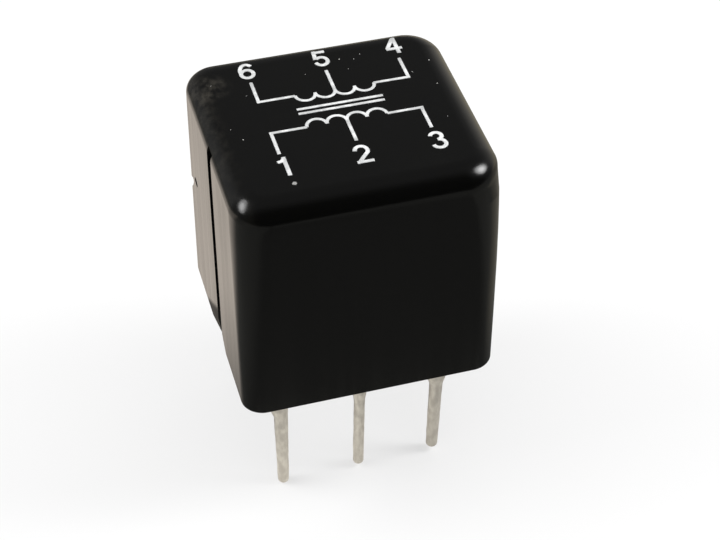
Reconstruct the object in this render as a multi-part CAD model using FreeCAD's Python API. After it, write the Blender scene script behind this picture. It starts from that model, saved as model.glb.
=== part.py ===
import FreeCAD, Part
import math
import os

# A small transformer for a printed circuit board, potted in a moulded cup.
# Lengths are millimetres and bearings degrees. The origin is the middle of
# the rim that sits on the board, +Z points up out of the board, and +X runs
# along the two rows of pins, with pins 1 to 3 at -Y. The cup's size follows
# from what it holds: the core sets its width and height, the pin rows its depth.

# Cup
side_wall = 0.87
roof_thickness = 1.0
corner_radius = 2.0
top_edge_radius = 1.6
cavity_corner_radius = 0.8

# Groove up the left wall, and the shallow bevels on both sides of its mouth
groove_width = 0.8
groove_depth = 0.5
groove_centre_y = -0.65
rear_bevel_length = 2.65
rear_bevel_height = 1.72
rear_bevel_depth = 0.30
front_bevel_length = 0.9
front_bevel_height = 0.9
front_bevel_depth = 0.27

# Nick worn into the rear left corner
nick_radius = 0.45
nick_depth = 0.15
nick_height = 8.0
nick_bearing = 164.0

# Room left round the contents for potting compound
core_side_clearance = 0.78
core_head_clearance = 1.0
rail_side_clearance = 0.5
potting_recess = 0.4

# Pins, in two rows, and the soldered joints at their roots
pins_per_row = 3
pin_pitch = 5.08
pin_row_spacing = 10.16
pin_radius = 0.38
pin_reach = 9.4
pin_tip_chamfer = 0.16
pin_shank_share = 0.7
pin_seat_depth = 1.9
joint_radius = 0.62
joint_height = 1.0

# Core: interleaved E and I laminations
centre_leg = 4.2
side_leg = 2.1
yoke_height = 2.1
window_width = 2.1
window_height = 8.0
sheet_thickness = 0.35
sheet_count = 13
core_base = 1.5

# Bobbin: a tube round the centre leg, two flanges, and a rail for each pin row
tube_clearance = 0.1
tube_wall = 0.45
tube_corner_radius = 0.4
flange_thickness = 0.5
flange_side_clearance = 0.1
flange_end_clearance = 0.05
flange_lip = 0.15
rail_width = 2.1
rail_end_margin = 1.0
rail_bottom = 2.0
rail_stack_clearance = 0.25

# Windings, the tape round each of them, and their leads
primary_build = 0.6
secondary_build = 0.5
interwinding_tape = 0.1
outer_tape = 0.12
lead_radius = 0.1
lead_drop = 0.2
lead_gap = 0.05
lead_slot_width = 0.4
middle_lead_x = 0.9

# Sizes that follow from the ones above
stack = sheet_thickness * sheet_count
core_half_width = centre_leg / 2 + window_width + side_leg
core_top = core_base + window_height + 2 * yoke_height
window_base = core_base + yoke_height
window_top = window_base + window_height
bobbin_base = window_base + flange_end_clearance
bobbin_top = window_top - flange_end_clearance
coil_base = bobbin_base + flange_thickness
coil_top = bobbin_top - flange_thickness
tube_half_x = centre_leg / 2 + tube_clearance + tube_wall
tube_half_y = stack / 2 + tube_clearance + tube_wall
secondary_start = primary_build + interwinding_tape
outer_tape_start = secondary_start + secondary_build
coil_build = outer_tape_start + outer_tape
flange_half_x = centre_leg / 2 + window_width - flange_side_clearance
flange_half_y = tube_half_y + coil_build + flange_lip
row_y = pin_row_spacing / 2
half_shank = pin_radius * pin_shank_share
pin_top = rail_bottom + pin_seat_depth
row_half_length = pin_pitch * (pins_per_row - 1) / 2
rail_half_length = row_half_length + rail_end_margin
rail_outer_y = row_y + rail_width / 2
lead_run_z = rail_bottom - lead_drop
cavity_half_width = max(core_half_width, rail_half_length) + core_side_clearance
cavity_half_depth = max(rail_outer_y, flange_half_y) + rail_side_clearance
cavity_top = core_top + core_head_clearance
half_width = cavity_half_width + side_wall
half_depth = cavity_half_depth + side_wall
case_height = cavity_top + roof_thickness


def block(low, high):
    """Plain box between two opposite corners."""
    length, width, height = [b - a for a, b in zip(low, high)]
    return Part.makeBox(length, width, height, FreeCAD.Vector(*low))


def rounded_block(half_x, half_y, radius, low, high):
    """Upright block about the Z axis, with round vertical corners."""
    solid = block((-half_x, -half_y, low), (half_x, half_y, high))
    upright = [edge for edge in solid.Edges if edge.BoundBox.ZLength > (high - low) / 2]
    return solid.makeFillet(radius, upright)


def pin_places():
    """Number, x and y of each pin, counted round the cup from the front left."""
    places = []
    for index in range(2 * pins_per_row):
        row, column = divmod(index, pins_per_row)
        x = -row_half_length + column * pin_pitch
        if row == 0:
            places.append((index + 1, x, -row_y))
        else:
            places.append((index + 1, -x, row_y))
    return places


# Cup
def level_edges(solid, z):
    """Edges of a solid that lie level at height z."""
    found = []
    for edge in solid.Edges:
        box = edge.BoundBox
        if abs(box.ZMin - z) < 1e-4 and abs(box.ZMax - z) < 1e-4:
            found.append(edge)
    return found


def mouth_bevel(edge_y, length, height, depth):
    """Three-cornered slice off the left wall, beside the mouth of the groove."""
    above = FreeCAD.Vector(-half_width, edge_y, height)
    beside = FreeCAD.Vector(-half_width, edge_y + length, 0)
    inside = FreeCAD.Vector(depth - half_width, edge_y, 0)
    slice_face = Part.Face(Part.makePolygon([above, beside, inside, above]))
    outward = slice_face.normalAt(0, 0)
    if outward.x > 0:
        outward = -outward
    return slice_face.extrude(outward * (2 * depth))


def corner_nick():
    """Ball that bites its depth out of the rear left corner."""
    reach = corner_radius + nick_radius - nick_depth
    bearing = math.radians(nick_bearing)
    x = corner_radius - half_width + reach * math.cos(bearing)
    y = half_depth - corner_radius + reach * math.sin(bearing)
    return Part.makeSphere(nick_radius, FreeCAD.Vector(x, y, nick_height))


def make_cavity():
    """Inside of the cup, from the rim up to its ceiling."""
    return rounded_block(cavity_half_width, cavity_half_depth, cavity_corner_radius, 0, cavity_top)


def make_case():
    """Cup with rounded edges, the groove in its left wall and its nicked corner."""
    body = rounded_block(half_width, half_depth, corner_radius, 0, case_height)
    body = body.makeFillet(min(top_edge_radius, 0.95 * corner_radius), level_edges(body, case_height))
    groove_front = groove_centre_y - groove_width / 2
    groove_rear = groove_centre_y + groove_width / 2
    groove = block(
        (-half_width - groove_depth, groove_front, -groove_depth),
        (-half_width + groove_depth, groove_rear, case_height + groove_depth),
    )
    rear_bevel = mouth_bevel(groove_rear, rear_bevel_length, rear_bevel_height, rear_bevel_depth)
    front_bevel = mouth_bevel(groove_front, -front_bevel_length, front_bevel_height, front_bevel_depth)
    return body.cut([make_cavity(), groove, rear_bevel, front_bevel, corner_nick()])


# Core
def e_outline(upright):
    """Corners of an E lamination, with its back below when it is upright."""
    inner = centre_leg / 2
    outer = inner + window_width
    legs = yoke_height + window_height
    corners = [
        (-core_half_width, 0), (core_half_width, 0), (core_half_width, legs), (outer, legs),
        (outer, yoke_height), (inner, yoke_height), (inner, legs), (-inner, legs),
        (-inner, yoke_height), (-outer, yoke_height), (-outer, legs), (-core_half_width, legs),
    ]
    if upright:
        return [(x, core_base + z) for x, z in corners]
    return [(x, core_top - z) for x, z in corners]


def i_outline(upright):
    """Corners of the I lamination that closes the E of the same layer."""
    low = core_top - yoke_height if upright else core_base
    high = low + yoke_height
    return [(-core_half_width, low), (core_half_width, low), (core_half_width, high), (-core_half_width, high)]


def lamination(corners, layer):
    """One sheet of the core, in its layer of the stack."""
    y = layer * sheet_thickness - stack / 2
    points = [FreeCAD.Vector(x, y, z) for x, z in corners]
    face = Part.Face(Part.makePolygon(points + points[:1]))
    return face.extrude(FreeCAD.Vector(0, sheet_thickness, 0))


def make_core():
    """E and I laminations by name, each layer turned over from the one before."""
    pieces = {}
    for layer in range(sheet_count):
        upright = layer % 2 == 0
        pieces["e_lamination_%02d" % (layer + 1)] = lamination(e_outline(upright), layer)
        pieces["i_lamination_%02d" % (layer + 1)] = lamination(i_outline(upright), layer)
    return pieces


def core_envelope():
    """Outside of the whole stack, with its two windows open."""
    body = block((-core_half_width, -stack / 2, core_base), (core_half_width, stack / 2, core_top))
    windows = []
    for left in (-centre_leg / 2 - window_width, centre_leg / 2):
        windows.append(block((left, -stack, window_base), (left + window_width, stack, window_top)))
    return body.cut(windows)


# Windings
def lead_place(x, y):
    """Where the lead of the pin at x, y leaves its winding.

    The primary goes to the front row and the secondary to the rear one."""
    if abs(x) < pin_pitch / 2:
        lead_x = middle_lead_x
    else:
        lead_x = math.copysign(tube_half_x - tube_corner_radius, x)
    if y < 0:
        return lead_x, -tube_half_y - primary_build / 2
    return lead_x, tube_half_y + secondary_start + secondary_build / 2


def make_lead(x, y):
    """Wire that drops out of its winding and runs below the rail to its pin."""
    lead_x, lead_y = lead_place(x, y)
    along = FreeCAD.Vector(x - lead_x, y - lead_y, 0).normalize()
    top = FreeCAD.Vector(lead_x, lead_y, coil_base + lead_radius)
    bend = FreeCAD.Vector(lead_x, lead_y, lead_run_z)
    end = FreeCAD.Vector(x, y, lead_run_z) - along * (pin_radius + lead_gap)
    path = Part.makePolygon([top, bend, end])
    section = Part.Wire(Part.makeCircle(lead_radius, top, FreeCAD.Vector(0, 0, -1)))
    mitred_corners = 1
    return path.makePipeShell([section], True, False, mitred_corners)


def wound_layer(start, build):
    """Layer of the coil whose inside lies start outside the bobbin tube."""
    rings = []
    for build_up in (start + build, start):
        rings.append(rounded_block(
            tube_half_x + build_up, tube_half_y + build_up, tube_corner_radius + build_up,
            coil_base, coil_top,
        ))
    return rings[0].cut(rings[1])


def make_winding(start, build, row_side):
    """Winding with its start, tap and finish led to the pins of one row."""
    leads = [make_lead(x, y) for number, x, y in pin_places() if y * row_side > 0]
    return wound_layer(start, build).fuse(leads)


# Bobbin
def make_bobbin():
    """Moulded bobbin, with a hole for each pin and a slot for each lead."""
    tube = rounded_block(tube_half_x, tube_half_y, tube_corner_radius, bobbin_base, bobbin_top)
    parts = [
        block((-flange_half_x, -flange_half_y, coil_top), (flange_half_x, flange_half_y, bobbin_top)),
        block((-flange_half_x, -rail_outer_y, bobbin_base), (flange_half_x, rail_outer_y, coil_base)),
    ]
    near_y = stack / 2 + rail_stack_clearance
    rail_inner_y = row_y - rail_width / 2
    for near, far, low in ((near_y, rail_outer_y, bobbin_base), (rail_inner_y, rail_outer_y, rail_bottom)):
        parts.append(block((-rail_half_length, near, low), (rail_half_length, far, coil_base)))
        parts.append(block((-rail_half_length, -far, low), (rail_half_length, -near, coil_base)))
    bore_half_x = centre_leg / 2 + tube_clearance
    bore_half_y = stack / 2 + tube_clearance
    cuts = [block((-bore_half_x, -bore_half_y, bobbin_base), (bore_half_x, bore_half_y, bobbin_top))]
    half_slot = lead_slot_width / 2
    for number, x, y in pin_places():
        cuts.append(pin_shank(x, y, rail_bottom))
        lead_x, lead_y = lead_place(x, y)
        cuts.append(block(
            (lead_x - half_slot, lead_y - half_slot, bobbin_base),
            (lead_x + half_slot, lead_y + half_slot, coil_base),
        ))
    return tube.fuse(parts).cut(cuts).removeSplitter()


# Pins
def pin_shank(x, y, low):
    """Square upper part of a pin, from height low up to the end of its seat."""
    return block((x - half_shank, y - half_shank, low), (x + half_shank, y + half_shank, pin_top))


def make_pin(x, y):
    """Pin that is square in the potting and round below it, with a blunted tip."""
    body = Part.makeCylinder(pin_radius, pin_reach + potting_recess, FreeCAD.Vector(x, y, -pin_reach))
    body = body.makeChamfer(min(pin_tip_chamfer, 0.9 * pin_radius), level_edges(body, -pin_reach))
    return body.fuse(pin_shank(x, y, potting_recess))


def joint_body(x, y):
    """Outside of the solder round a pin, below the rail."""
    base = FreeCAD.Vector(x, y, rail_bottom - joint_height)
    return Part.makeCylinder(joint_radius, joint_height, base)


# Potting
def make_potting(contents):
    """Compound that fills all the room left in the cup."""
    fill = rounded_block(
        cavity_half_width, cavity_half_depth, cavity_corner_radius, potting_recess, cavity_top
    )
    return fill.cut(contents)


def build_nodes():
    """Every solid of the transformer, by the name of its node."""
    nodes = {"case": make_case()}
    nodes.update(make_core())
    nodes["bobbin"] = make_bobbin()
    nodes["primary_winding"] = make_winding(0, primary_build, -1)
    nodes["interwinding_tape"] = wound_layer(primary_build, interwinding_tape)
    nodes["secondary_winding"] = make_winding(secondary_start, secondary_build, 1)
    nodes["outer_tape"] = wound_layer(outer_tape_start, outer_tape)
    windings = [nodes["primary_winding"], nodes["secondary_winding"]]
    joints = []
    for number, x, y in pin_places():
        pin = make_pin(x, y)
        joint = joint_body(x, y)
        nodes["pin_%d" % number] = pin
        nodes["solder_joint_%d" % number] = joint.cut([pin] + windings)
        joints += [pin, joint]
    coil = rounded_block(
        tube_half_x + coil_build, tube_half_y + coil_build, tube_corner_radius + coil_build,
        coil_base, coil_top,
    )
    nodes["potting"] = make_potting([core_envelope(), nodes["bobbin"], coil] + windings + joints)
    return nodes


os.makedirs("parts", exist_ok=True)
for name, shape in build_nodes().items():
    shape.exportStep("parts/%s.step" % name)
    print("%-18s solids %d, valid %s, %.3f mm3" % (name, len(shape.Solids), shape.isValid(), shape.Volume))
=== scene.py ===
"""A small potted transformer for a circuit board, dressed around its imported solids.

The cup, its print, the pins and the skin of the potting are made here. Pieces are
shaped in millimetres and brought to metres when they are finished.
"""

import logging
import math
from dataclasses import dataclass
from enum import Enum
from typing import Any, Optional, Sequence, Union

import bmesh
import bpy
from mathutils import Matrix, Vector, noise


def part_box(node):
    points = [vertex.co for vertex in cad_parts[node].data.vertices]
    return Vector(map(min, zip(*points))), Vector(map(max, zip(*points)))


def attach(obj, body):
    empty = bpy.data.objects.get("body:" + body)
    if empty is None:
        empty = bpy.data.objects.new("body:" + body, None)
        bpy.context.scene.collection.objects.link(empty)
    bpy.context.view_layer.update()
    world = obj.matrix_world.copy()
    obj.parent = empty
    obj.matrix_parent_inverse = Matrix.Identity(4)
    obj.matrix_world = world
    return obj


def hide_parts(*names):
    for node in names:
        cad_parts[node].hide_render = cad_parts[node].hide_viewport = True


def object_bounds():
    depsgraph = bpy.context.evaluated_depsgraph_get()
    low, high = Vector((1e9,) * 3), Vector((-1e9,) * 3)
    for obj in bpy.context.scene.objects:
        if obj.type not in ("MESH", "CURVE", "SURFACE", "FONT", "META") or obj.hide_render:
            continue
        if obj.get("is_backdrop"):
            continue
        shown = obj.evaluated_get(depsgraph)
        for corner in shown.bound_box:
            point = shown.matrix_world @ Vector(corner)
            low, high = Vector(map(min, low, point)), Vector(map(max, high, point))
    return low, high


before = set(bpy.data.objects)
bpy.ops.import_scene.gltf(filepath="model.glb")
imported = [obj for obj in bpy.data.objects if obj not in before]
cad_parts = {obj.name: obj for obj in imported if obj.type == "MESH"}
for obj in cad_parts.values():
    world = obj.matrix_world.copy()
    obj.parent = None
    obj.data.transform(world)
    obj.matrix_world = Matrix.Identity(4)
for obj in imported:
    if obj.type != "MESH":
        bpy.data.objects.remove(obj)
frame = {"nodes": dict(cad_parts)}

BODY = "root"
MM = 0.001
SURFACE_Z = 0.4  # Height of the potting's surface.
MERGE = 1e-5  # Points closer than this are one.
LEVEL = 1e-3  # Heights closer than this are the same.
STEEP = 0.9  # An edge is upright if its rise is more than this share of its length.
log = logging.getLogger("transformer")

Shape = bmesh.types.BMesh
Mesh = bpy.types.Mesh
Item = bpy.types.Object
Socket = bpy.types.NodeSocket
Path = Sequence[tuple[float, float]]


def set_up(item: Any, settings: dict[str, Any]) -> Any:
    """Sets attributes of one of Blender's items.

    Args:
        item: The item.
        settings: Values of its attributes, by name.

    Returns:
        The item.
    """
    for key, value in settings.items():
        setattr(item, key, value)
    return item


class Slot(Enum):
    """Material slots of the case, the pins and the potting."""

    CASE = "case_plastic"
    TIN = "tinned_pin"
    EPOXY = "potting_epoxy"


class Glyph(Enum):
    """Numbers printed on the top of the cup."""

    ONE = 1
    TWO = 2
    THREE = 3
    FOUR = 4
    FIVE = 5
    SIX = 6


# Shader maths
class Wire:
    """A shader socket that carries a number and takes part in sums."""

    def __init__(self, graph: "Graph", socket: bpy.types.NodeSocket) -> None:
        """Keeps the socket with the graph that it belongs to."""
        self.graph = graph
        self.socket = socket

    def _math(self, operation: str, first: Any, second: Any) -> "Wire":
        """Result of one Math node, whose sides are wires or numbers."""
        made = self.graph.node("ShaderNodeMath", {"operation": operation}, {0: first, 1: second})
        return self.graph.wire(made, "Value")

    def __add__(self, other: Any) -> "Wire":
        """Sum."""
        return self._math("ADD", self, other)

    def __radd__(self, other: Any) -> "Wire":
        """Sum with a number before it."""
        return self._math("ADD", other, self)

    def __sub__(self, other: Any) -> "Wire":
        """Difference."""
        return self._math("SUBTRACT", self, other)

    def __rsub__(self, other: Any) -> "Wire":
        """Difference with a number before it."""
        return self._math("SUBTRACT", other, self)

    def __mul__(self, other: Any) -> "Wire":
        """Product."""
        return self._math("MULTIPLY", self, other)

    def __rmul__(self, other: Any) -> "Wire":
        """Product with a number before it."""
        return self._math("MULTIPLY", other, self)

    def __lt__(self, other: Any) -> "Wire":
        """One where this is below the other, else zero."""
        return self._math("LESS_THAN", self, other)

    def __gt__(self, other: Any) -> "Wire":
        """One where this is above the other, else zero."""
        return self._math("GREATER_THAN", self, other)

    def size(self) -> "Wire":
        """The number without its sign."""
        return self._math("ABSOLUTE", self, 0.0)

    def ramp(self, start: float, end: float) -> "Wire":
        """Goes smoothly from zero to one.

        Args:
            start: Where it is zero.
            end: Where it is one, above or below the start.

        Returns:
            The wire that carries the result.
        """
        sockets = {"Value": self, "From Min": start, "From Max": end}
        made = self.graph.node("ShaderNodeMapRange", {"interpolation_type": "SMOOTHSTEP"}, sockets)
        return self.graph.wire(made, "Result")


@dataclass(frozen=True)
class Pattern:
    """Cloudy pattern with features about size millimetres wide, below one of stretch longer.

    Attributes:
        rise: Where it leaves zero and where it reaches one, if it is sharpened.
    """

    size: float
    detail: float = 3.0
    stretch: tuple = (1.0, 1.0, 1.0)
    rise: Optional[tuple] = None


class Graph:
    """Node tree of one material or of the world."""

    fineness = 0.55

    def __init__(self, tree: bpy.types.NodeTree) -> None:
        """Empties the tree and keeps it."""
        self.tree = tree
        tree.nodes.clear()

    def node(self, kind: str, settings: dict[str, Any], sockets: dict[Union[str, int], Any]) -> bpy.types.Node:
        """Adds a node.

        Args:
            kind: Blender's name of the node type.
            settings: Its attributes, set before the sockets.
            sockets: Values or wires for the inputs, by name or number.

        Returns:
            The new node.
        """
        made = set_up(self.tree.nodes.new(kind), settings)
        for key, value in sockets.items():
            source = value.socket if isinstance(value, Wire) else value
            if isinstance(source, Socket):
                self.tree.links.new(source, made.inputs[key])
            else:
                made.inputs[key].default_value = source
        return made

    def wire(self, node: bpy.types.Node, name: str) -> Wire:
        """Output of a node as a number to reckon with."""
        return Wire(self, node.outputs[name])

    def place(self, scale: tuple = (1.0, 1.0, 1.0)) -> Socket:
        """Adds the place on the object in millimetres.

        Args:
            scale: What it is multiplied by along each axis.

        Returns:
            Its socket.
        """
        spot = self.node("ShaderNodeTexCoord", {}, {}).outputs["Object"]
        made = self.node("ShaderNodeMapping", {}, {"Vector": spot, "Scale": [s / MM for s in scale]})
        return made.outputs["Vector"]

    def axis(self, name: str) -> Wire:
        """One coordinate of the place on the object, in millimetres."""
        return self.wire(self.node("ShaderNodeSeparateXYZ", {}, {"Vector": self.place()}), name)

    def distance(self, place: tuple) -> Wire:
        """Distance in millimetres from a place on the object."""
        away = self.node("ShaderNodeVectorMath", {"operation": "DISTANCE"}, {0: self.place(), 1: place})
        return self.wire(away, "Value")

    def noise(self, pattern: Pattern) -> Wire:
        """Adds a cloudy pattern.

        Args:
            pattern: What it is like.

        Returns:
            Its value, from zero to one.
        """
        sockets = {"Vector": self.place(pattern.stretch), "Scale": 1.0 / pattern.size, "Detail": pattern.detail}
        made = self.node("ShaderNodeTexNoise", {}, {**sockets, "Roughness": self.fineness})
        value = self.wire(made, "Fac")
        return value.ramp(*pattern.rise) if pattern.rise else value

    def mix(self, share: Any, first: Any, second: Any) -> Socket:
        """Colour between two, the second one where share is one."""
        return self.node("ShaderNodeMix", {"data_type": "RGBA"}, {0: share, 6: first, 7: second}).outputs[2]

    def bump(self, height: Wire, depth: float) -> Socket:
        """Surface relief that is depth millimetres deep where height goes from zero to one."""
        return self.node("ShaderNodeBump", {}, {"Distance": depth * MM, "Height": height}).outputs["Normal"]

    def surface(self, settings: dict[str, Any]) -> None:
        """Ends the tree in a Principled shader with these sockets."""
        shader = self.node("ShaderNodeBsdfPrincipled", {}, settings)
        self.node("ShaderNodeOutputMaterial", {}, {"Surface": shader.outputs[0]})


def rgba(red: float, green: float, blue: float) -> tuple[float, float, float, float]:
    """Opaque colour."""
    return (red, green, blue, 1.0)


WHITE = rgba(1.0, 1.0, 1.0)
HORIZON = rgba(1.0, 0.9, 0.69)
HORIZON_SHARE = 0.56


# Finishes
@dataclass(frozen=True)
class Finish:
    """One finish, made a material on first use."""

    name: str

    def material(self) -> bpy.types.Material:
        """Finds the material of this finish, or builds it.

        Returns:
            The material.
        """
        found = bpy.data.materials.get(self.name)
        if found is None:
            found = bpy.data.materials.new(self.name)
            found.use_nodes = True
            self.build(Graph(found.node_tree))
        return found

    def build(self, graph: Graph) -> None:
        """Fills the material's node tree."""
        raise NotImplementedError


@dataclass(frozen=True)
class GlossMoulding(Finish):
    """Deep black glossy moulding, with faint smears, fine drawn lines, a grubby edge and a dull patch.

    Attributes:
        roughening: What clouds, smears, streaks, grime and the dull patch add to the roughness.
        lines_share: Share of the relief that the lines take, the grain having the rest.
        grime_along: Share of the grime along the left top edge, and what the rear adds.
        dull_edge: The dull patch lies to the left of the first and behind the second.
    """

    colour: tuple = rgba(0.0018, 0.0018, 0.0016)
    grime: tuple = rgba(0.034, 0.031, 0.025)
    ior: float = 1.5
    gloss: float = 0.13
    roughening: tuple = (0.08, 0.05, 0.045, 0.06, 0.45)
    clouds: Pattern = Pattern(5.0, 4.0)
    smears: Pattern = Pattern(1.6, 5.0, rise=(0.56, 0.72))
    streaks: Pattern = Pattern(0.55, 3.0, (1.0, 1.0, 0.02), (0.35, 0.68))
    blotches: Pattern = Pattern(0.52, 2.5, (1.0, 0.7, 0.7), (0.32, 0.8))
    lines: Pattern = Pattern(0.3, 2.0, (1.0, 1.0, 0.03))
    grain: Pattern = Pattern(0.14, 2.0)
    lines_share: float = 0.4
    depth: float = 0.0008
    top_face: tuple = (15.2, 15.5)
    top_edge: tuple = (14.0, 14.9)
    left_edge: tuple = (-6.3, -7.6)
    grime_place: tuple = (-6.7, 4.4, 15.4)
    grime_reach: tuple = (1.5, 0.6)
    grime_along: tuple = (0.2, 0.4)
    grime_rear: tuple = (-5.0, 2.0)
    dull_edge: tuple = (-7.50, -0.28)
    dull_slope: float = 0.65
    dull_fade: tuple = (2.60, 1.95)

    def build(self, graph: Graph) -> None:
        """Fills the material's node tree.

        Args:
            graph: The tree.
        """
        x, y, z = (graph.axis(name) for name in "XYZ")
        rim = z.ramp(*self.top_edge)
        base, more = self.grime_along
        edge = x.ramp(*self.left_edge) * rim * (base + more * y.ramp(*self.grime_rear))
        grime = graph.noise(self.blotches) * (graph.distance(self.grime_place).ramp(*self.grime_reach) + edge)
        left, rear = self.dull_edge
        slant = z + (y - rear) * self.dull_slope
        dull = (x < left) * (y > rear) * slant.ramp(*self.dull_fade)
        smears = graph.noise(self.smears) * z.ramp(*self.top_face)
        streaks = graph.noise(self.streaks) * (1.0 - rim)
        roughness = self.gloss
        for share, layer in zip(self.roughening, (graph.noise(self.clouds), smears, streaks, grime, dull)):
            roughness = roughness + layer * share
        relief = graph.noise(self.lines) * self.lines_share + graph.noise(self.grain) * (1.0 - self.lines_share)
        graph.surface({
            "Base Color": graph.mix(grime, self.colour, self.grime),
            "Roughness": roughness,
            "IOR": self.ior,
            "Normal": graph.bump(relief, self.depth),
        })


@dataclass(frozen=True)
class Mottled(Finish):
    """Two colours in a cloudy pattern, the second one where it is one.

    Attributes:
        roughness: Roughness where its pattern is zero, and what one adds.
        relief: Pattern of the relief, if it has its own.
        dulling: Pattern of the roughness, if it has its own.
    """

    first: tuple
    second: tuple
    cover: Pattern
    roughness: tuple
    depth: float
    relief: Optional[Pattern] = None
    dulling: Optional[Pattern] = None
    metallic: float = 0.0

    def build(self, graph: Graph) -> None:
        """Fills the material's node tree.

        Args:
            graph: The tree.
        """
        cover = graph.noise(self.cover)
        relief, dulling = (graph.noise(own) if own else cover for own in (self.relief, self.dulling))
        base, more = self.roughness
        graph.surface({
            "Base Color": graph.mix(cover, self.first, self.second),
            "Metallic": self.metallic,
            "Roughness": base + dulling * more,
            "Normal": graph.bump(relief, self.depth),
        })


@dataclass(frozen=True)
class DippedTin(Finish):
    """Tin from a dip, mottled, with dull streaks down its length."""

    bright: tuple = rgba(0.77, 0.74, 0.69)
    dull: tuple = rgba(0.66, 0.625, 0.575)
    roughness: float = 0.3
    roughening: tuple = (0.22, 0.06)
    metallic: tuple = (0.8, 0.12)
    blotches: Pattern = Pattern(0.35, 5.0, (1.0, 1.0, 0.45), (0.34, 0.7))
    grain: Pattern = Pattern(0.08)
    grain_share: float = 0.3
    depth: float = 0.012

    def build(self, graph: Graph) -> None:
        """Fills the material's node tree.

        Args:
            graph: The tree.
        """
        blotches, grain = graph.noise(self.blotches), graph.noise(self.grain)
        relief = blotches * (1.0 - self.grain_share) + grain * self.grain_share
        dulling, graining = self.roughening
        graph.surface({
            "Base Color": graph.mix(blotches, self.dull, self.bright),
            "Metallic": self.metallic[0] + blotches * self.metallic[1],
            "Roughness": self.roughness + dulling * (1.0 - blotches) + grain * graining,
            "Normal": graph.bump(relief, self.depth),
        })


@dataclass(frozen=True)
class WoundCopper(Finish):
    """Enamelled copper wire, lying turn beside turn, with painted shade that darkens the valleys between turns."""

    crest: tuple = rgba(0.72, 0.3, 0.13)
    valley_shade: tuple = rgba(0.26, 0.08, 0.03)
    wire_pitch: float = 0.11
    band_pitch: float = math.pi / 10.0  # At a scale of one.
    waver: float = 0.25
    valley_shade_rise: tuple = (0.05, 0.55)
    metallic: float = 0.9
    roughness: tuple = (0.25, 0.2)
    shade: Pattern = Pattern(0.7)
    depth: float = 0.03

    def build(self, graph: Graph) -> None:
        """Fills the material's node tree.

        Args:
            graph: The tree.
        """
        bands = graph.node(
            "ShaderNodeTexWave",
            {"wave_type": "BANDS", "bands_direction": "Z", "wave_profile": "SIN"},
            {"Vector": graph.place(), "Scale": self.band_pitch / self.wire_pitch, "Distortion": self.waver},
        )
        turns = graph.wire(bands, "Fac")
        base, more = self.roughness
        graph.surface({
            # The valleys between turns take a darker colour: painted shade.
            "Base Color": graph.mix(turns.ramp(*self.valley_shade_rise), self.valley_shade, self.crest),
            "Metallic": self.metallic,
            "Roughness": base + graph.noise(self.shade) * more,
            "Normal": graph.bump(turns, self.depth),
        })


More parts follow.
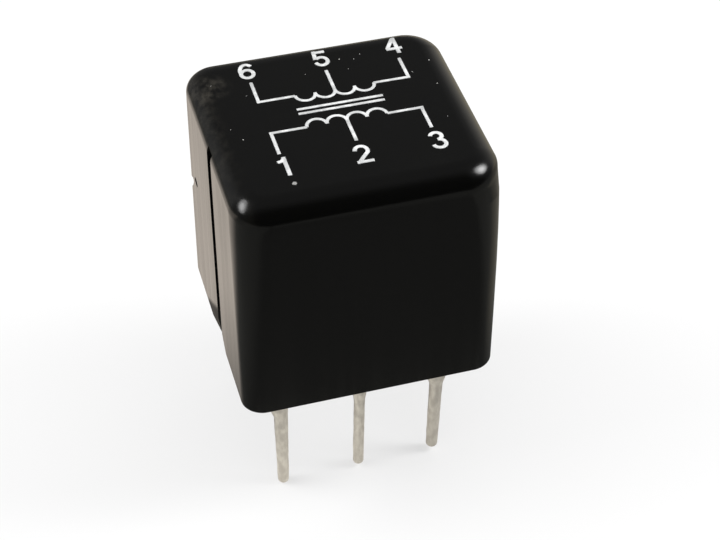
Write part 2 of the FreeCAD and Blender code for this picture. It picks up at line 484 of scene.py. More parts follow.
@dataclass(frozen=True)
class PaleFloor(Finish):
    """Pale paper, which reflections see as painted light and shade: emission seen only by glossy rays, with a dark
    ground as painted shade, a bright card-shaped glow on it and a warm glow behind that stands for a wall.

    A band says where along an axis something starts and where it is full, in millimetres.

    Attributes:
        backdrop_share: Share of plain white that the camera sees in the paper.
        wall_rises: Bands of the warm glow behind (painted light, not a real wall) along Y, the second one for what is
            right beside the part.
        card_glow_fall: How much darker the card-shaped glow gets along card_glow_run, as painted shade.
    """

    paper: tuple = rgba(0.9, 0.9, 0.9)
    backdrop_share: float = 0.52
    # Dark ground seen only in reflections: painted shade.
    shaded_ground: tuple = rgba(0.112, 0.112, 0.106)
    side: tuple = rgba(0.2, 0.2, 0.185)
    side_band: tuple = (14.0, 26.0)
    right: tuple = rgba(0.31, 0.29, 0.24)
    right_bands: tuple = ((16.5, 25.0), (-16.0, -7.0))
    horizon_bands: tuple = ((22.0, 70.0), (12.0, 60.0))
    # Warm glow seen only in reflections: painted light, standing for a wall behind.
    wall: tuple = rgba(0.9, 0.8, 0.7)
    wall_rises: tuple = ((3.0, 15.0), (-4.0, 16.0))
    wall_beside: tuple = (-18.0, -13.0)
    wall_bands: tuple = ((5.0, -4.0), (90.0, 40.0))
    # Bright card-shaped glow seen only in reflections: painted light.
    card_glow: tuple = rgba(0.8, 0.77, 0.69)
    card_glow_side: tuple = (14.0, 11.0)
    card_glow_ends: tuple = ((-15.5, -13.0), (0.0, -2.0))
    card_glow_fall: float = 0.36
    card_glow_run: tuple = (-5.0, 7.0)

    def reflected(self, graph: Graph) -> Socket:
        """Adds the colours that reflections see: emission painted on the floor for glossy rays only, as painted
        reflections of light and shade.

        Args:
            graph: The tree.

        Returns:
            Their socket.
        """
        x, y = graph.axis("X"), graph.axis("Y")
        right, horizon, wall = (
            x.ramp(*bands[0]) * y.ramp(*bands[1]) for bands in (self.right_bands, self.horizon_bands, self.wall_bands)
        )
        beside = x.ramp(*self.wall_beside)
        far_rise, near_rise = (y.ramp(*rise) for rise in self.wall_rises)
        wall = wall * (far_rise * (1.0 - beside) + near_rise * beside)
        front, rear = (y.ramp(*end) for end in self.card_glow_ends)
        card_glow = x.size().ramp(*self.card_glow_side) * front * rear * (1.0 - self.card_glow_fall * x.ramp(*self.card_glow_run))
        seen = graph.mix(x.size().ramp(*self.side_band), self.shaded_ground, self.side)
        shares = (right, horizon * HORIZON_SHARE, wall, card_glow)
        for share, colour in zip(shares, (self.right, HORIZON, self.wall, self.card_glow)):
            seen = graph.mix(share, seen, colour)
        return seen

    def build(self, graph: Graph) -> None:
        """Fills the material's node tree.

        Args:
            graph: The tree.
        """
        rays = graph.node("ShaderNodeLightPath", {}, {})
        shown = graph.node("ShaderNodeBsdfDiffuse", {}, {"Color": self.paper})
        # Glossy rays see emission instead of the paper: painted reflections of light and shade.
        for share, colour in (
            (graph.wire(rays, "Is Camera Ray") * self.backdrop_share, WHITE),
            (graph.wire(rays, "Is Glossy Ray"), self.reflected(graph)),
        ):
            lit = graph.node("ShaderNodeEmission", {}, {"Color": colour})
            shown = graph.node("ShaderNodeMixShader", {}, {0: share, 1: shown.outputs[0], 2: lit.outputs[0]})
        graph.node("ShaderNodeOutputMaterial", {}, {"Surface": shown.outputs[0]})


INK = (Pattern(0.5, 4.0, rise=(0.4, 0.62)), (0.5, -0.12), 0.006, Pattern(0.09))
ROLLING = Pattern(0.12, 3.0, (0.05, 1.0, 1.0))


@dataclass(frozen=True)
class Finishes:
    """All the finishes of the transformer."""

    moulding: Finish = GlossMoulding("gloss_moulding")
    ink: Finish = Mottled("print_ink", rgba(0.62, 0.63, 0.63), rgba(0.84, 0.85, 0.85), *INK)
    faded: Finish = Mottled("faded_ink", rgba(0.34, 0.34, 0.33), rgba(0.46, 0.46, 0.45), *INK)
    dust: Finish = Mottled("pale_dust", rgba(0.5, 0.49, 0.46), rgba(0.72, 0.72, 0.7), *INK)
    tin: Finish = DippedTin("dipped_tin")
    solder: Finish = DippedTin("bright_solder", rgba(0.88, 0.88, 0.88), rgba(0.66, 0.66, 0.66), 0.18)
    epoxy: Finish = Mottled(
        "cast_epoxy", rgba(0.0065, 0.0065, 0.007), rgba(0.05, 0.05, 0.048),
        Pattern(0.6, 5.0, rise=(0.58, 0.8)), (0.22, 0.25), 0.05, Pattern(3.2, 2.0),
    )
    sheet: Finish = Mottled(
        "core_sheet", rgba(0.42, 0.41, 0.4), rgba(0.24, 0.25, 0.3),
        Pattern(3.0, rise=(0.42, 0.7)), (0.36, 0.2), 0.003, ROLLING, ROLLING, 1.0,
    )
    nylon: Finish = Mottled(
        "moulded_nylon", rgba(0.74, 0.7, 0.6), rgba(0.64, 0.59, 0.47),
        Pattern(1.8, stretch=(1.0, 1.0, 0.4), rise=(0.35, 0.7)), (0.42, 0.15), 0.004,
        Pattern(0.1), Pattern(1.8, stretch=(1.0, 1.0, 0.4)),
    )
    copper: Finish = WoundCopper("wound_copper")
    film: Finish = Mottled(
        "yellow_film", rgba(0.8, 0.56, 0.1), rgba(0.62, 0.38, 0.05),
        Pattern(1.1, 2.0, (0.25, 0.25, 1.0), (0.45, 0.55)), (0.24, 0.1), 0.01,
    )


# Making pieces
def holder_of(name: str, data: bpy.types.ID) -> Item:
    """Puts an object that holds some data into the scene.

    Args:
        name: Name of the object.
        data: A mesh, curve, lamp or camera.

    Returns:
        The object.
    """
    made = bpy.data.objects.new(name, data)
    bpy.context.scene.collection.objects.link(made)
    return made


def mesh_of(shape: Shape) -> Mesh:
    """Turns a shape into a mesh.

    Args:
        shape: The shape, which is freed.

    Returns:
        The mesh.
    """
    mesh = bpy.data.meshes.new("mesh")
    shape.to_mesh(mesh)
    shape.free()
    return mesh


def modify(piece: Item, kind: str, settings: dict[str, Any]) -> None:
    """Adds a modifier with some settings."""
    set_up(piece.modifiers.new(kind.lower(), kind), settings)


def settled(piece: Item) -> Mesh:
    """Applies an object's modifiers and removes the object.

    Args:
        piece: The object.

    Returns:
        The mesh that they leave.
    """
    graph = bpy.context.evaluated_depsgraph_get()
    graph.update()
    mesh = bpy.data.meshes.new_from_object(piece.evaluated_get(graph))
    bpy.data.objects.remove(piece)
    return mesh


def finished(name: str, mesh: Mesh, finish: Finish, nodes: Sequence[str] = ()) -> None:
    """Brings a mesh to metres and attaches it as a piece of the part.

    Args:
        name: Name of the piece.
        mesh: Its mesh, in millimetres.
        finish: Finish that it gets.
        nodes: Solids that it stands for.
    """
    mesh.transform(Matrix.Scale(MM, 4))
    mesh.materials.clear()
    mesh.materials.append(finish.material())
    mesh.shade_smooth()
    mesh.name = name
    piece = holder_of(name, mesh)
    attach(piece, BODY)
    if nodes:
        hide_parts(*nodes)
    log.info("%s: %d faces, %s", name, len(mesh.polygons), finish.name)


def block(low: Sequence[float], high: Sequence[float]) -> Shape:
    """Makes a box.

    Args:
        low: Its lowest corner.
        high: Its highest corner.

    Returns:
        The shape.
    """
    made = bmesh.new()
    bmesh.ops.create_cube(made, size=1.0)
    bmesh.ops.scale(made, vec=Vector(high) - Vector(low), verts=made.verts)
    bmesh.ops.translate(made, vec=(Vector(high) + Vector(low)) / 2, verts=made.verts)
    return made


def turned(outline: Path, closed: bool, sides: int) -> Shape:
    """Turns an outline about the upright axis.

    Args:
        outline: Radius and height of its points.
        closed: Whether the last point joins the first one.
        sides: Steps of the turn.

    Returns:
        The shape.
    """
    made = bmesh.new()
    chain = [made.verts.new((radius, 0.0, z)) for radius, z in outline]
    following = chain[1:] + chain[:1] if closed else chain[1:]
    edges = [made.edges.new(pair) for pair in zip(chain, following)]
    bmesh.ops.spin(
        made, geom=chain + edges, cent=(0, 0, 0), axis=(0, 0, 1), angle=math.tau, steps=sides, use_merge=True
    )
    bmesh.ops.remove_doubles(made, verts=made.verts, dist=MERGE)
    bmesh.ops.recalc_face_normals(made, faces=made.faces)
    return made


def round_edges(made: Shape, edges: list, radius: float, segments: int) -> None:
    """Rounds some edges of a shape.

    Args:
        made: The shape.
        edges: The edges.
        radius: Radius of the rounding.
        segments: Faces across it.
    """
    bmesh.ops.bevel(
        made, geom=edges, offset=radius, offset_type="OFFSET", segments=segments, profile=0.5,
        affect="EDGES", material=-1, clamp_overlap=True,
    )


def upright_edges(made: Shape) -> list:
    """Edges that run nearly straight up."""
    return [e for e in made.edges if abs(e.verts[0].co.z - e.verts[1].co.z) > STEEP * e.calc_length()]


def level_edges(made: Shape, z: float) -> list:
    """Edges that lie at one height."""
    return [e for e in made.edges if all(abs(v.co.z - z) < LEVEL for v in e.verts)]


@dataclass(frozen=True)
class Corner:
    """Rounding of one upright corner, with its radius at the rim and the top.

    Attributes:
        growth: How late the radius grows between them, one for evenly.
    """

    rim: float
    top: float
    growth: float = 1.0

    def radius(self, share: float) -> float:
        """Radius at a share of the way from the rim to the top."""
        return self.rim + (self.top - self.rim) * share ** self.growth


@dataclass
class Cup:
    """Moulded cup, with its groove, the bevels at the groove's mouth and its knock marks."""

    low: Vector
    high: Vector
    relief: float = 0.03
    wall: float = 0.87
    roof: float = 1.0
    draft: float = 0.04
    first_corner: float = 1.5
    corner_segments: int = 20
    corners: tuple = ((Corner(1.35, 2.2), Corner(1.5, 2.6, 4.0)), (Corner(1.4, 1.85), Corner(1.5, 2.3)))
    levels: tuple = (4.0, 8.0, 10.5, 12.0, 13.2)
    top_edge: float = 1.6
    edge_segments: int = 18
    cavity_corner: float = 0.8
    cavity_segments: int = 6
    outside: float = 1.0
    groove_width: float = 0.95
    groove_depth: float = 0.5
    groove_y: float = -0.65
    groove_lean: float = 0.25
    groove_rise: float = 0.15
    groove_end: float = 15.25
    groove_run: float = 0.6
    rear_bevel: tuple = (1.8, 1.4, 0.2)
    front_bevel: tuple = (-0.9, 0.9, 0.36)
    gouge: tuple = ((-8.195, 5.92, 7.665), (0.4, 0.4, 3.0), (0.17, 0.75, -0.64))
    pit: tuple = ((-7.99, 4.45, 8.70), (0.42, 0.42, 0.25), (0.0, 0.0, 1.0))
    ball_detail: int = 4
    side_tightening: float = 0.25
    rear_tightening: float = 0.2
    edge_margin: float = 0.3
    weld: float = 1e-4
    softening: float = 0.05
    soft_segments: int = 2
    crease_angles: tuple = (8.0, 38.0)

    @property
    def top(self) -> float:
        """Height of the top face, below the print."""
        return self.high.z - self.relief

    def corner(self, x: float, y: float) -> Corner:
        """Finds the nearest upright corner.

        Args:
            x: Place along X.
            y: Place along Y.

        Returns:
            Its rounding.
        """
        front, rear = self.corners
        left, right = rear if y > 0 else front
        return right if x > 0 else left

    def shell(self) -> Shape:
        """Makes the outside of the cup, with corners that grow rounder upwards and a round top edge.

        Returns:
            The shape.
        """
        made = block((self.low.x, self.low.y, 0.0), (self.high.x, self.high.y, self.top))
        round_edges(made, upright_edges(made), self.first_corner, self.corner_segments)
        for level in self.levels:
            everything = [*made.verts, *made.edges, *made.faces]
            bmesh.ops.bisect_plane(made, geom=everything, plane_co=(0.0, 0.0, level), plane_no=(0.0, 0.0, 1.0))
        for vertex in made.verts:
            share = vertex.co.z / self.top
            grown = self.corner(vertex.co.x, vertex.co.y).radius(share) / self.first_corner
            for axis, half in ((0, self.high.x), (1, self.high.y)):
                inset = half - abs(vertex.co[axis])
                side = math.copysign(1.0, vertex.co[axis])
                vertex.co[axis] = side * (half - self.draft * share - inset * grown)
        round_edges(made, level_edges(made, self.top), self.top_edge, self.edge_segments)
        self.tighten(made)
        return made

    def tighten(self, made: Shape) -> None:
        """Makes the round top edge lower at the sides and the rear than at the front.

        Args:
            made: The shell.
        """
        for vertex in made.verts:
            x, y, z = vertex.co
            drop = self.top - z
            inset = self.corner(x, y).top + self.draft
            away = Vector((
                x - max(self.low.x + inset, min(self.high.x - inset, x)),
                y - max(self.low.y + inset, min(self.high.y - inset, y)),
            ))
            if drop > self.top_edge + self.edge_margin or away.length < MERGE:
                continue
            away.normalize()
            tightening = self.side_tightening * away.x ** 2 + self.rear_tightening * max(0.0, away.y) ** 2
            vertex.co.z = self.top - drop * (1 - tightening)

    def cavity(self) -> Shape:
        """Makes the inside of the cup, open through the rim.

        Returns:
            The shape.
        """
        low, high, wall = self.low, self.high, self.wall
        made = block((low.x + wall, low.y + wall, -self.outside), (high.x - wall, high.y - wall, high.z - self.roof))
        round_edges(made, upright_edges(made), self.cavity_corner, self.cavity_segments)
        return made

    def groove_bar(self) -> Shape:
        """Makes the bar that cuts the groove up the left wall and runs out below the round edge.

        Returns:
            The shape.
        """
        half, outside = self.groove_width / 2, self.outside
        made = block(
            (self.low.x - outside, self.groove_y - half, -outside),
            (self.low.x + self.groove_depth, self.groove_y + half, self.groove_end),
        )
        climb = self.groove_run / (self.groove_depth - self.groove_rise)
        for vertex in made.verts:
            inner = vertex.co.x > self.low.x
            if vertex.co.z > self.top / 2:
                vertex.co.z += -self.groove_run if inner else climb * outside
            share = vertex.co.z / self.high.z
            vertex.co.x -= self.groove_rise * share
            vertex.co.y += self.groove_lean * share
        return made

    def mouth_bevel(self, edge_y: float, length: float, height: float, depth: float) -> Shape:
        """Makes a three-cornered slice beside the mouth of the groove.

        Args:
            edge_y: Side of the groove that the slice starts from.
            length: How far it runs along the rim, with its sign.
            height: How far it climbs beside the groove.
            depth: How deep it is at the rim, beside the groove.

        Returns:
            The slice as a closed shape that reaches out of the wall.
        """
        above = Vector((self.low.x, edge_y, height))
        beside = Vector((self.low.x, edge_y + length, 0.0))
        inside = Vector((self.low.x + depth, edge_y, 0.0))
        slope = (beside - above).cross(inside - above).normalized()
        if slope.x > 0:
            slope = -slope
        made = bmesh.new()
        made.faces.new([made.verts.new(corner) for corner in (above, beside, inside)])
        moved = bmesh.ops.extrude_face_region(made, geom=list(made.faces))
        new = [g for g in moved["geom"] if isinstance(g, bmesh.types.BMVert)]
        bmesh.ops.translate(made, vec=slope * 2.0 * depth, verts=new)
        bmesh.ops.recalc_face_normals(made, faces=made.faces)
        return made

    def bite(self, place: tuple, sizes: tuple, way: tuple) -> Shape:
        """Makes a long ball that knocks a mark into the wall.

        Args:
            place: Its centre.
            sizes: Its half widths, the last one along the way.
            way: Direction of its length.

        Returns:
            The closed shape.
        """
        made = bmesh.new()
        bmesh.ops.create_icosphere(made, subdivisions=self.ball_detail, radius=1.0)
        bmesh.ops.scale(made, vec=sizes, verts=made.verts)
        turn = Vector(way).to_track_quat("Z", "X").to_matrix()
        bmesh.ops.rotate(made, matrix=turn, verts=made.verts)
        bmesh.ops.translate(made, vec=place, verts=made.verts)
        return made

    def cut(self, tools: Sequence[Shape]) -> Mesh:
        """Cuts the shell and creases the shallow edges that the cuts leave.

        Args:
            tools: Shapes to cut away.

        Returns:
            The cut shell's mesh.
        """
        body = holder_of("cup_shell", mesh_of(self.shell()))
        cutters = [holder_of("cutter", mesh_of(tool)) for tool in tools]
        for cutter in cutters:
            modify(body, "BOOLEAN", {"operation": "DIFFERENCE", "solver": "EXACT", "object": cutter})
        mesh = settled(body)
        for cutter in cutters:
            bpy.data.objects.remove(cutter)
        made = bmesh.new()
        made.from_mesh(mesh)
        bmesh.ops.remove_doubles(made, verts=made.verts, dist=self.weld)
        low, high = (math.radians(angle) for angle in self.crease_angles)
        for edge in made.edges:
            if len(edge.link_faces) == 2 and low < edge.calc_face_angle() < high:
                edge.smooth = False
        return mesh_of(made)

    def build(self, finish: Finish) -> None:
        """Makes the cup, which stands for the case's solid.

        Args:
            finish: Finish of the moulding.
        """
        half = self.groove_width / 2
        body = holder_of("cup_blank", self.cut((
            self.cavity(),
            self.groove_bar(),
            self.mouth_bevel(self.groove_y + half, *self.rear_bevel),
            self.mouth_bevel(self.groove_y - half, *self.front_bevel),
            self.bite(*self.gouge),
            self.bite(*self.pit),
        )))
        limit = math.radians(self.crease_angles[1])
        modify(body, "BEVEL", {
            "width": self.softening, "segments": self.soft_segments, "limit_method": "ANGLE", "angle_limit": limit,
        })
        modify(body, "WEIGHTED_NORMAL", {"keep_sharp": True, "weight": 100})
        body.data.shade_smooth()
        finished("cup", settled(body), finish, ["case"])


@dataclass(frozen=True)
class PinForm:
    """How one pin came out of the tin bath.

    Attributes:
        tip: Radius at the tip.
        taper: How much thicker it is at the potting, without its foot.
        foot: How much the foot of tin adds to the radius.
        foot_side: Share of the foot that lies to the left.
        set_off: How far it stands off its place along X.
        lean: How much further off its tip is, along X and Y.
        short: How much shorter it is than its place allows.
        foot_reach: Share of the length that the foot covers.
        foot_fade: Share of the length over which it ends.
    """

    tip: float
    taper: float
    foot: float
    foot_side: float
    set_off: float
    lean: tuple
    short: float
    foot_reach: float = 0.385
    foot_fade: float = 0.1

    def foot_at(self, drop: float) -> float:
        """What the foot adds at a share of the way from the potting to the tip."""
        gone = min(1.0, max(0.0, 1.0 - (self.foot_reach - drop) / self.foot_fade))
        return self.foot * (1.0 - gone * gone * (3.0 - 2.0 * gone))

    def radius(self, drop: float) -> float:
        """Radius at a share of the way from the potting to the tip."""
        return self.tip + self.taper * (1.0 - drop) + self.foot_at(drop)


@dataclass
class Pin:
    """Round pin with a coat of tin that is thicker at its foot."""

    node: str
    low: Vector
    high: Vector
    form: PinForm
    rings: int = 64
    sides: int = 28
    stub: tuple = (0.7, 0.3)
    tip_round: float = 0.8
    tip_rings: int = 8
    tip_bluntness: float = 0.8
    lump: float = 0.016
    lump_pitches: tuple = ((1.3, 1.0), (3.1, 0.5))
    smooth_tip: float = 0.6

    def profile(self) -> Path:
        """Works out the turned pin's outline.

        Returns:
            Radius and height of each ring, from the top to the tip.
        """
        form = self.form
        tip_z = self.low.z + form.short
        length = SURFACE_Z - tip_z
        rounding = form.tip * self.tip_round
        core = form.tip * self.stub[0]
        points = [(0.0, self.high.z), (core, self.high.z), (core, SURFACE_Z + self.stub[1])]
        for step in range(self.rings + 1):
            z = SURFACE_Z - step / self.rings * (length - rounding)
            points.append((form.radius((SURFACE_Z - z) / length), z))
        blunt = points[-1][0]
        for step in range(1, self.tip_rings):
            turn = math.pi / 2 * step / self.tip_rings
            points.append((blunt * math.cos(turn) ** self.tip_bluntness, tip_z + rounding * (1 - math.sin(turn))))
        return points + [(0.0, tip_z)]

    def shape(self, made: Shape, centre: Vector) -> None:
        """Pushes lumps, a one-sided foot and a lean into the turned pin.

        Args:
            made: The pin, at the origin.
            centre: Where it will stand.
        """
        form = self.form
        seed = Vector((centre.x, centre.y, 0.0))
        length = SURFACE_Z - self.low.z
        for vertex in made.verts:
            spot = vertex.co.copy()
            drop = max(0.0, (SURFACE_Z - spot.z) / length)
            away = Vector((spot.x, spot.y, 0.0))
            if away.length > MERGE and spot.z < SURFACE_Z:
                swell = sum(share * noise.noise((spot + seed) * pitch) for pitch, share in self.lump_pitches)
                fade = min(1.0, (spot.z - self.low.z) / self.smooth_tip)
                vertex.co += away.normalized() * self.lump * swell * fade
            vertex.co.x -= form.foot_at(drop) * form.foot_side
            vertex.co.x += form.set_off + form.lean[0] * drop
            vertex.co.y += form.lean[1] * drop

    def build(self, finish: Finish) -> None:
        """Makes the pin by turning its profile and pushing it out of true.

        Args:
            finish: Finish of the tin.
        """
        centre = (self.low + self.high) / 2
        made = turned(self.profile(), False, self.sides)
        self.shape(made, centre)
        bmesh.ops.translate(made, vec=(centre.x, centre.y, 0.0), verts=made.verts)
        finished("tinned_" + self.node, mesh_of(made), finish, [self.node])


PIN_FORMS = (
    PinForm(0.35, 0.15, 0.11, 1.00, -0.22, (0.02, 0.0), 0.0),
    PinForm(0.345, 0.02, 0.095, 0.16, -0.15, (-0.09, 0.06), 0.2),
    PinForm(0.38, 0.07, 0.19, 0.25, -0.14, (-0.16, 0.1), 0.3),
    PinForm(0.355, 0.08, 0.12, 0.3, 0.04, (0.05, -0.06), 0.0),
    PinForm(0.35, 0.06, 0.1, -0.2, -0.05, (-0.06, 0.04), 0.08),
    PinForm(0.36, 0.09, 0.09, 0.4, -0.04, (-0.08, 0.02), 0.0),
)


@dataclass
class PottingSkin:
    """Compound that climbs the pins."""

    climb: float = 0.22
    spread: float = 0.34
    steps: int = 7
    sides: int = 40
    inner_share: float = 0.9
    sunk: float = 0.05

    def ring(self, name: str, centre: Vector, radius: float, finish: Finish) -> None:
        """Makes the meniscus round one pin, a hollow curve that is closed inside the compound.

        Args:
            name: Name of the piece.
            centre: Where the pin stands.
            radius: Its radius.
            finish: Finish of the compound.
        """
        outline = []
        for step in range(self.steps + 1):
            turn = math.pi / 2 * step / self.steps
            across, up = self.spread * (1 - math.cos(turn)), self.climb * (1 - math.sin(turn))
            outline.append((radius + across, SURFACE_Z - up))
        inner, deep = radius * self.inner_share, SURFACE_Z + self.sunk
        outline += [(radius + self.spread, deep), (inner, deep), (inner, SURFACE_Z - self.climb)]
        made = turned(outline, True, self.sides)
        bmesh.ops.translate(made, vec=(centre.x, centre.y, 0.0), verts=made.verts)
        finished(name, mesh_of(made), finish)


@dataclass
class Print:
    """White print on the top: numbers at the pins and a plain winding diagram."""

    top: float
    ink: Finish
    faded: Finish
    relief: float = 0.03
    height: float = 1.56
    half_width: float = 0.315
    stroke: float = 0.25
    line: float = 0.21
    numbers: tuple = (
        (Glyph.ONE, -4.26, -3.80), (Glyph.TWO, 0.27, -3.88), (Glyph.THREE, 4.75, -3.84),
        (Glyph.FOUR, 4.88, 5.55), (Glyph.FIVE, 0.34, 5.47), (Glyph.SIX, -4.26, 5.42),
    )
    bow: float = 0.6
    coil_turns: int = 4
    core_half: float = 2.6
    core_lines: tuple = (0.6, 1.02)
    dot: tuple = (-4.07, -5.36)
    dot_radius: float = 0.14
    dot_stroke: float = 0.98
    front_stretch: float = 1.05
    coil_rows: tuple = ((-0.7, -2.65), (2.32, 4.25))
    arc_step: float = 9.0
    least_steps: int = 6
    flatness: float = 0.3
    roundness: int = 2

    def arc(self, cx: float, cy: float, rx: float, ry: float, start: float, end: float) -> Path:
        """Works out part of an ellipse.

        Args:
            cx: Its centre along X.
            cy: Its centre along Y.
            rx: Its half width.
            ry: Its half height.
            start: Bearing of the first point, in degrees.
            end: Bearing of the last one.

        Returns:
            Points along it.
        """
        count = max(self.least_steps, int(abs(end - start) / self.arc_step))
        turns = [math.radians(start + (end - start) * k / count) for k in range(count + 1)]
        return [(cx + rx * math.cos(t), cy + ry * math.sin(t)) for t in turns]

    def strokes(self, glyph: Glyph) -> list[Path]:
        """Works out the middle lines of a number's strokes, for a number one high and centred.

        Args:
            glyph: The number.

        Returns:
            One path for each stroke.
        """
        wide, s = self.half_width, self.stroke / self.height / 2
        x, y = wide - s, 0.5 - s
        return {
            Glyph.ONE: [[(0.09, -0.5), (0.09, 0.5)], [(0.08, y + 0.02), (0.0, 0.31), (-0.18, 0.27)]],
            Glyph.TWO: [
                self.arc(0.0, y - 0.24, x, 0.24, 176, -34) + [(0.02, -0.14), (-x + 0.01, -y)],
                [(-wide, -y), (wide, -y)],
            ],
            Glyph.THREE: [
                self.arc(-0.01, y - 0.195, x * 0.9, 0.195, 168, -90),
                self.arc(0.0, -y + 0.225, x, 0.225, 90, -170),
            ],
            Glyph.FOUR: [
                [(0.12, -0.5), (0.12, 0.5)], [(0.08, y + 0.03), (-x - 0.03, -0.15)], [(-wide, -0.18), (wide, -0.18)],
            ],
            Glyph.FIVE: [
                [(-x + 0.02, y), (x, y)], [(-x + 0.06, y + s), (-x + 0.01, -0.02)],
                self.arc(-0.01, -y + 0.255, x, 0.255, 140, -168),
            ],
            Glyph.SIX: [
                self.arc(0.0, -y + 0.25, x, 0.25, 0, 360), self.arc(0.03, -0.01, x + 0.03, y + 0.01, 42, 188),
            ],
        }[glyph]

    def band(self, path: Path, width: float) -> Shape:
        """Makes a low rounded band of ink along a path.

        Args:
            path: Points of its middle line, in millimetres.
            width: Its width.

        Returns:
            A closed shape with flat ends, half of it above the level of zero.
        """
        curve = set_up(bpy.data.curves.new("stroke", "CURVE"), {"dimensions": "3D", "twist_mode": "Z_UP"})
        set_up(curve, {"bevel_depth": width / 2, "bevel_resolution": self.roundness, "use_fill_caps": True})
        spline = curve.splines.new("POLY")
        spline.points.add(len(path) - 1)
        for point, (x, y) in zip(spline.points, path):
            point.co = (x, y, 0.0, 1.0)
        mesh = settled(holder_of("stroke", curve))
        bpy.data.curves.remove(curve)
        made = bmesh.new()
        made.from_mesh(mesh)
        bpy.data.meshes.remove(mesh)
        bmesh.ops.remove_doubles(made, verts=made.verts, dist=MERGE)
        for vertex in made.verts:
            rise = min(1.0, abs(vertex.co.z) / (width / 2))
            vertex.co.z = math.copysign(self.relief * rise ** self.flatness, vertex.co.z)
        bmesh.ops.recalc_face_normals(made, faces=made.faces)
        return made

    def printed(self, name: str, paths: Sequence[Path], width: float, finish: Finish) -> None:
        """Prints a band along each path, all in one piece.

        Args:
            name: Name of the piece.
            paths: The paths.
            width: Width of the bands.
            finish: Finish of the ink.
        """
        whole = bpy.data.meshes.new(name)
        joined = bmesh.new()
        for band in [self.band(path, width) for path in paths]:
            band.to_mesh(whole)
            joined.from_mesh(whole)
            band.free()
        bmesh.ops.translate(joined, vec=(0.0, 0.0, self.top - self.relief), verts=joined.verts)
        joined.to_mesh(whole)
        joined.free()
        finished(name, whole, finish)

    def winding(self, name: str, row: Sequence[float], coil_y: float, end_y: float) -> None:
        """Prints a row of coil bows with leads towards the three numbers of one row.

        Args:
            name: Name of the piece.
            row: Where the three leads stand along X.
            coil_y: Line that the coil is drawn on.
            end_y: Where the leads end, short of the numbers.
        """
        left, middle, right = row
        turns = (0, 180) if end_y < coil_y else (180, 360)
        half = self.coil_turns * self.bow
        centres = [middle - half + (2 * index + 1) * self.bow for index in range(self.coil_turns)]
        paths = [self.arc(centre, coil_y, self.bow, self.bow, *turns) for centre in centres]
        for x, start in ((left, middle - half), (right, middle + half)):
            paths.append([(start, coil_y), (x + math.copysign(self.line / 2, x - start), coil_y)])
            paths.append([(x, coil_y), (x, end_y)])
        paths.append([(middle, coil_y), (middle, end_y)])
        self.printed(name, paths, self.line, self.ink)

    def build(self) -> None:
        """Prints everything."""
        for glyph, x, y in self.numbers:
            tall = self.height * (1.0 if y > 0 else self.front_stretch)
            paths = [[(x + px * self.height, y + py * tall) for px, py in path] for path in self.strokes(glyph)]
            self.printed("number_%d" % glyph.value, paths, self.stroke, self.ink)
        front = [x for _, x, y in self.numbers if y < 0]
        rear = sorted(x for _, x, y in self.numbers if y > 0)
        for name, row, lines in zip(("printed_primary", "printed_secondary"), (front, rear), self.coil_rows):
            self.winding(name, row, *lines)
        middle, half = (front[1] + rear[1]) / 2, self.core_half
        bars = [[(middle - half, y), (middle + half, y)] for y in self.core_lines]
        self.printed("printed_core", bars, self.line, self.ink)
        bow = self.dot_radius / 2
        spot = self.arc(*self.dot, bow, bow, 0, 360)
        self.printed("pin_one_dot", [spot], self.dot_radius * self.dot_stroke, self.faded)


@dataclass
class Dust:
    """A few grains of pale dust on the top."""

    top: float
    squash: tuple = (1.0, 0.8, 0.22)
    turn: float = 7.0
    grains: tuple = (
        (1.40, 5.12, 0.06), (2.24, 4.92, 0.04), (2.72, 5.30, 0.036), (6.57, 3.60, 0.052), (5.25, 2.74, 0.042),
        (6.33, 1.26, 0.052), (0.44, 3.84, 0.046), (0.35, 3.22, 0.04), (-0.95, 4.21, 0.034), (-5.92, -0.84, 0.05),
        (-6.60, 4.60, 0.036), (-6.40, 0.25, 0.032), (1.66, 4.05, 0.03), (-4.80, 3.10, 0.026), (5.95, -1.90, 0.028),
    )

    def build(self, finish: Finish) -> None:
        """Scatters the grains, all in one piece.

        Args:
            finish: Finish of the grains.
        """
        made = bmesh.new()
        for x, y, radius in self.grains:
            grain = bmesh.ops.create_icosphere(made, subdivisions=1, radius=radius)["verts"]
            bmesh.ops.scale(made, vec=self.squash, verts=grain)
            bmesh.ops.rotate(made, matrix=Matrix.Rotation(x * self.turn, 3, "Z"), verts=grain)
            bmesh.ops.translate(made, vec=(x, y, self.top), verts=grain)
        finished("dust_grains", mesh_of(made), finish)


@dataclass
class Inside:
    """Solids sealed in the cup, which keep their shapes and get their finishes."""

    nodes: dict
    finishes: Finishes
    starts: tuple = (
        ("e_lamination", "sheet"), ("i_lamination", "sheet"), ("bobbin", "nylon"), ("primary", "copper"),
        ("secondary", "copper"), ("interwinding", "film"), ("outer", "film"), ("solder", "solder"),
        ("potting", "epoxy"), ("", "moulding"),
    )

    def dress(self) -> None:
        """Gives every carried-over solid its finish, from the start of its name."""
        for name, solid in self.nodes.items():
            found = next(finish for start, finish in self.starts if name.startswith(start))
            material = getattr(self.finishes, found).material()
            if not solid.material_slots:
                solid.data.materials.append(material)
            for place in solid.material_slots:
                place.material = material
        log.info("dressed %d solids", len(self.nodes))


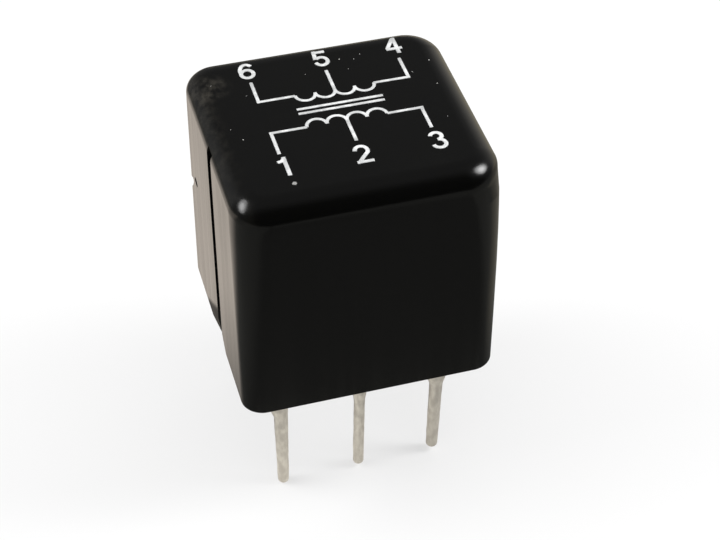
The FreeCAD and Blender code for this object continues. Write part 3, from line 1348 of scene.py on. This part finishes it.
@dataclass
class Softbox:
    """Oval lamp that faces the part, brighter in its middle.

    Attributes:
        towards: Direction from the part to the lamp.
        size: Its width and length, in millimetres.
        along: Direction that its length follows as nearly as it can.
        radiance: How bright its face is.
        core_radiance: How much brighter its middle is.
        core_share: Share of the width and length that the middle takes.
        distance: How far off it hangs, in millimetres.
        core_step: How much nearer its middle hangs.
    """

    name: str
    towards: tuple
    size: tuple
    along: tuple
    radiance: float
    core_radiance: float
    core_share: float = 0.52
    distance: float = 150.0
    core_step: float = 1.0

    def build(self, target: Vector) -> None:
        """Hangs the lamp and, a little nearer, its middle.

        Args:
            target: The point that it faces, in millimetres.
        """
        back = Vector(self.towards).normalized()
        length = Vector(self.along)
        length = (length - back * length.dot(back)).normalized()
        facing = Matrix((length.cross(back), length, back)).transposed().to_4x4()
        for name, share, radiance, nearer in (
            (self.name, 1.0, self.radiance, 0.0),
            (self.name + "_core", self.core_share, self.core_radiance, self.core_step),
        ):
            lamp = set_up(bpy.data.lights.new(name, "AREA"), {"shape": "ELLIPSE"})
            lamp.size, lamp.size_y = (side * share * MM for side in self.size)
            lamp.energy = radiance * math.pi * lamp.size * lamp.size_y * math.pi / 4
            place = Matrix.Translation((target + back * (self.distance - nearer)) * MM)
            holder_of(name, lamp).matrix_world = place @ facing


@dataclass
class Sky:
    """World, white to the camera, even for plain light, and dim above the part in reflections."""

    overhead: float = 0.135
    overhead_band: tuple = (-0.65, 0.0)
    glow: float = 0.14
    glow_bands: tuple = ((-0.25, -0.6), (0.4, 0.7))
    horizon_bands: tuple = ((0.3, 0.62), (-0.05, 0.45), (0.75, -0.05))
    ambient: float = 0.7

    def build(self) -> None:
        """Makes the world."""
        world = bpy.data.worlds.new("studio")
        bpy.context.scene.world = world
        world.use_nodes = True
        graph = Graph(world.node_tree)
        direction = graph.node("ShaderNodeTexCoord", {}, {}).outputs["Generated"]
        split = graph.node("ShaderNodeSeparateXYZ", {}, {"Vector": direction})
        x, y, z = (graph.wire(split, name) for name in "XYZ")
        along_x, along_y, along_z = self.horizon_bands
        horizon = x.ramp(*along_x) * y.ramp(*along_y) * z.ramp(*along_z) * HORIZON_SHARE
        glow = x.ramp(*self.glow_bands[0]) * y.ramp(*self.glow_bands[1]) * self.glow
        mirrored = y.ramp(*self.overhead_band) * self.overhead + glow + horizon
        rays = graph.node("ShaderNodeLightPath", {}, {})
        camera, glossy = (graph.wire(rays, name) for name in ("Is Camera Ray", "Is Glossy Ray"))
        strength = camera + (1.0 - camera) * (glossy * mirrored + (1.0 - glossy) * self.ambient)
        colour = graph.mix(horizon * glossy, WHITE, HORIZON)
        light = graph.node("ShaderNodeBackground", {}, {"Color": colour, "Strength": strength})
        graph.node("ShaderNodeOutputWorld", {}, {"Surface": light.outputs[0]})


@dataclass
class View:
    """Camera of the photograph, with its angles in degrees and its place in millimetres."""

    focal_pixels: float = 1785.3
    image_width: int = 720
    yaw: float = 16.184
    pitch: float = 42.892
    roll: float = 0.302
    distance: float = 113.981
    shift_x: float = -1.241
    shift_y: float = -2.433
    sensor: float = 36.0
    clip: tuple = (0.005, 10.0)

    def build(self) -> None:
        """Puts the camera at the photograph's place."""
        yaw, pitch, roll = (math.radians(a) for a in (self.yaw, self.pitch, self.roll))
        turn = Matrix.Identity(4)
        for angle, axis in ((-yaw, "Z"), (math.pi / 2 - pitch, "X"), (roll, "Z")):
            turn = turn @ Matrix.Rotation(angle, 4, axis)
        data = set_up(bpy.data.cameras.new("camera"), {"sensor_fit": "HORIZONTAL", "sensor_width": self.sensor})
        data.lens = self.focal_pixels / self.image_width * self.sensor
        data.clip_start, data.clip_end = self.clip
        holder = holder_of("camera", data)
        place = Vector((-self.shift_x, -self.shift_y, self.distance)) * MM
        holder.matrix_world = turn @ Matrix.Translation(place)
        bpy.context.scene.camera = holder


@dataclass
class Studio:
    """Pale floor, soft lamps, sky and camera."""

    floor_z: float
    floor_radius: float = 900.0
    floor_sides: int = 96
    target: tuple = (0.0, 0.0, 5.0)
    lamps: tuple = (
        Softbox("left_softbox", (-0.724, 0.153, 0.673), (58.0, 128.0), (-0.5, -0.59, -0.4), 4.5, 4.8),
        Softbox("right_softbox", (0.758, -0.177, 0.617), (66.0, 76.0), (0.62, -0.1, -0.77), 6.8, 8.2),
    )

    def floor(self) -> None:
        """Lays the wide level floor under the pin tips."""
        made = bmesh.new()
        bmesh.ops.create_circle(made, cap_ends=True, radius=self.floor_radius * MM, segments=self.floor_sides)
        bmesh.ops.translate(made, vec=(0.0, 0.0, self.floor_z * MM), verts=made.verts)
        piece = holder_of("floor", mesh_of(made))
        piece.data.materials.append(PaleFloor("pale_floor").material())
        piece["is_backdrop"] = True

    def build(self) -> None:
        """Sets up the floor, the sky, the lamps and the camera."""
        self.floor()
        Sky().build()
        for lamp in self.lamps:
            lamp.build(Vector(self.target))
        View().build()
        bpy.context.scene.view_settings.view_transform = "Standard"


def box_of(node: str) -> tuple[Vector, Vector]:
    """Lowest and highest corner of a solid, in millimetres."""
    low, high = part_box(node)
    return low / MM, high / MM


def corners() -> list[list[float]]:
    """The shown object's box as plain lists."""
    return [list(corner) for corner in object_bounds()]


def main() -> None:
    """Builds and dresses the whole transformer, then its studio."""
    logging.basicConfig(level=logging.INFO, format="%(message)s")
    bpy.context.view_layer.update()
    finishes = Finishes()
    Inside(frame["nodes"], finishes).dress()
    cup = Cup(*box_of("case"))
    cup.build(finishes.moulding)
    Print(cup.high.z, finishes.ink, finishes.faded, cup.relief).build()
    Dust(cup.top).build(finishes.dust)
    skin = PottingSkin()
    lowest = 0.0
    for number, form in enumerate(PIN_FORMS, 1):
        node = "pin_%d" % number
        low, high = box_of(node)
        Pin(node, low, high, form).build(finishes.tin)
        skin.ring("meniscus_%d" % number, (low + high) / 2, form.radius(0.0), finishes.epoxy)
        lowest = min(lowest, low.z)
    Studio(lowest).build()


if __name__ == "__main__":
    main()
